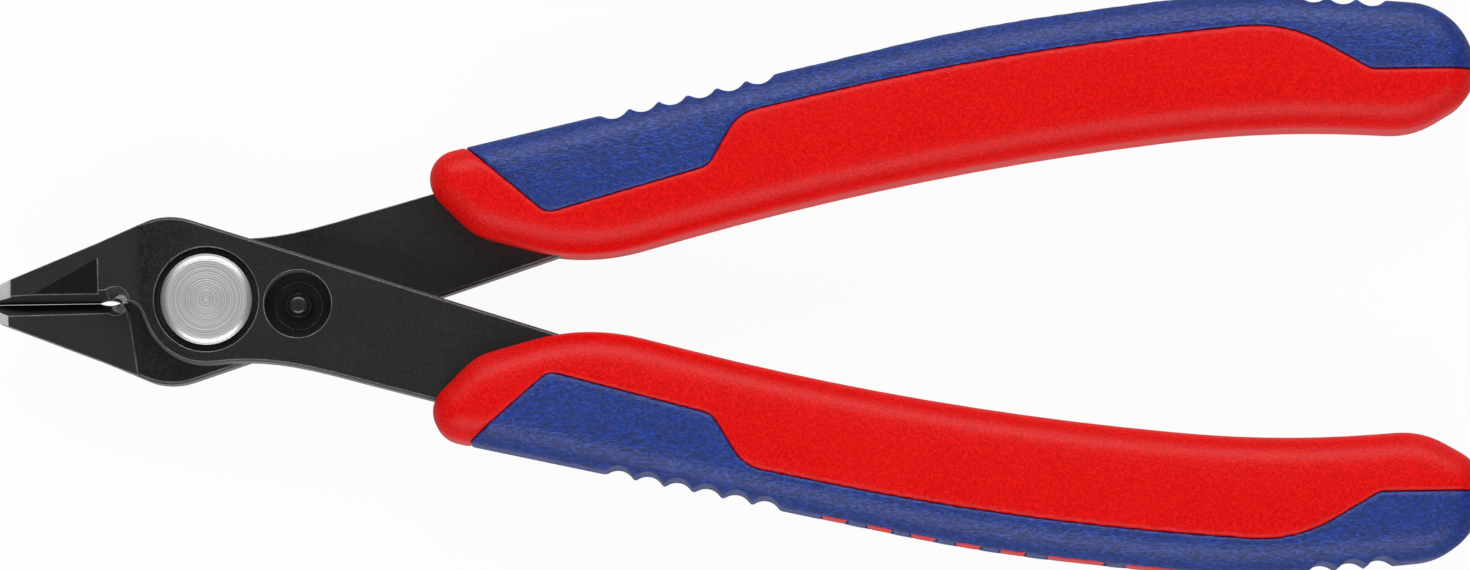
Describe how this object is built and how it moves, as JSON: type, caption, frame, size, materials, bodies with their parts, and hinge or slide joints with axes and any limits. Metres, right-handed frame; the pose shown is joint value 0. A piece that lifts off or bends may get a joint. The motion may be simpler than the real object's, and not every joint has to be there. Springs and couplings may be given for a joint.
{
  "type": "flush cutter",
  "caption": "Small electronics flush cutter: crossed black steel blades on a turned bolt, tapered jaws and two red and blue two-component grips, sprung open.",
  "frame": {"origin": "on the hinge axis, in the flat back face of the head", "axes": "+X along the tool towards the handle ends, +Y towards the upper handle, +Z out of the front face along the hinge axis"},
  "size_m": [0.1247, 0.0486, 0.011],
  "materials": {
    "black_steel": "burnished black, satin",
    "turned_steel": "finely turned",
    "dark_steel": "blackened",
    "spring_steel": "drawn wire",
    "red_plastic": "fine grain",
    "blue_soft": "leather grain"
  },
  "bodies": {
    "front_half": {"front_blade": "black_steel", "joint_washer": "dark_steel", "opening_spring": "spring_steel", "lower_grip_core": "red_plastic", "lower_grip_pad": "blue_soft"},
    "rear_half": {"rear_blade": "black_steel", "joint_bolt": "turned_steel", "joint_nut": "turned_steel", "limiter_pin": "dark_steel", "upper_grip_core": "red_plastic", "upper_grip_pad": "blue_soft"}
  },
  "joints": [
    {"name": "jaw_hinge", "type": "hinge", "parent": "front_half", "child": "rear_half", "pos_m": [0, 0, 0.003], "axis": [0, 0, 1], "range_deg": [0, 10], "stiffness_Nm_per_rad": 0.4, "springref_deg": 34.38, "deforming": ["opening_spring"]}
  ]
}
